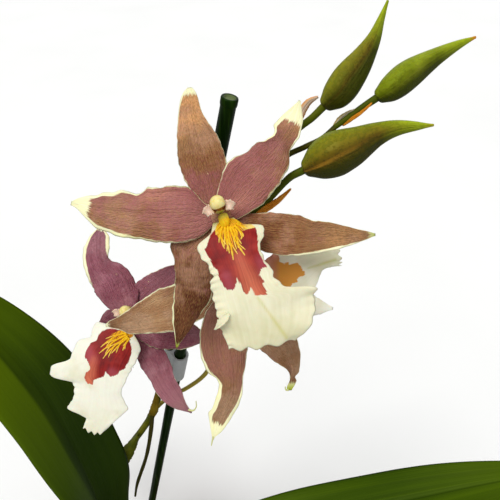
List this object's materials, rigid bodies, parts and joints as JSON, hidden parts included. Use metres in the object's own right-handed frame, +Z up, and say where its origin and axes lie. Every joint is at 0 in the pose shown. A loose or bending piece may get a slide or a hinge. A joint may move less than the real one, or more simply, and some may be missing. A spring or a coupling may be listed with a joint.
{
  "type": "potted aliceara orchid",
  "caption": "Potted orchid hybrid: a leaning flower spike tied to a cane carries star-shaped mauve blooms with broad cream lips and green buds over strap leaves and pseudobulbs.",
  "frame": {"origin": "centre of the pot's flat underside", "axes": "+Z up out of the pot, -Y the side that the blooms look towards, +X to the right as the blooms are seen"},
  "size_m": [0.4968, 0.3298, 0.5676],
  "materials": {
    "pot": "matte",
    "bark": "matte",
    "pseudobulb": "satin",
    "leaf": "satin",
    "cane": "gloss",
    "clip": "gloss",
    "spike": "satin",
    "bud": "satin",
    "tepals": "matte",
    "lip": "matte",
    "column": "satin"
  },
  "bodies": {
    "root": {"pot": "pot", "bark": "bark", "pseudobulbs": "pseudobulb", "leaf_1": "leaf", "leaf_2": "leaf", "leaf_3": "leaf", "leaf_4": "leaf", "leaf_5": "leaf", "leaf_6": "leaf", "leaf_7": "leaf", "leaf_8": "leaf", "cane": "cane", "cane_clip": "clip", "flower_spike": "spike", "bud_1": "bud", "bud_2": "bud", "bud_3": "bud", "bloom_front_tepals": "tepals", "bloom_front_lip": "lip", "bloom_front_column": "column", "bloom_left_tepals": "tepals", "bloom_left_lip": "lip", "bloom_left_column": "column", "bloom_back_tepals": "tepals", "bloom_back_lip": "lip", "bloom_back_column": "column"}
  },
  "joints": []
}
